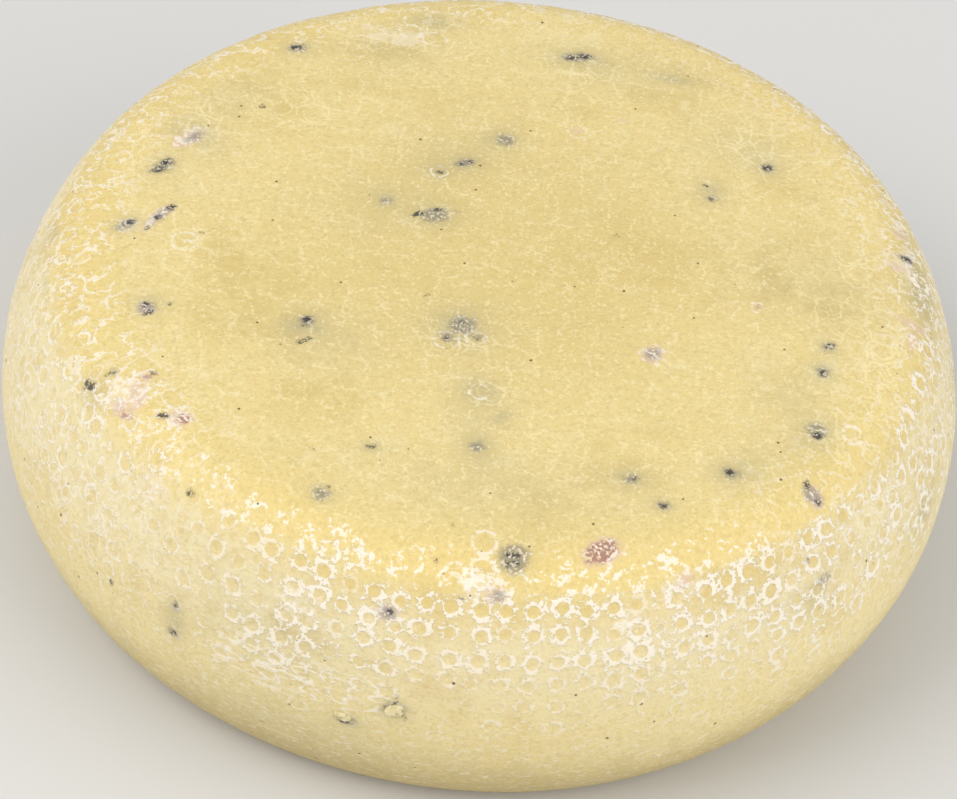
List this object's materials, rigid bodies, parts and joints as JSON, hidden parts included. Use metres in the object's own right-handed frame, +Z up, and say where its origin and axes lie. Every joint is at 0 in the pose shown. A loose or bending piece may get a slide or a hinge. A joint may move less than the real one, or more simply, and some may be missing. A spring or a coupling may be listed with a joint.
{
  "type": "cheese wheel",
  "caption": "Whole round cheese wheel with a bulging side, a soft rounded shoulder and a nearly flat top, pale yellow rind with a mould imprint and truffle flecks.",
  "frame": {"origin": "middle of the base that the wheel rests on", "axes": "+Z up through the wheel, from the base to the top face; +X and +Y lie in the base"},
  "size_m": [0.1806, 0.1788, 0.063],
  "materials": {
    "rind": "semi-matt natural cheese rind, pale yellow with a cream bloom on the mould imprint"
  },
  "bodies": {
    "root": {"cheese_wheel": "rind"}
  },
  "joints": []
}
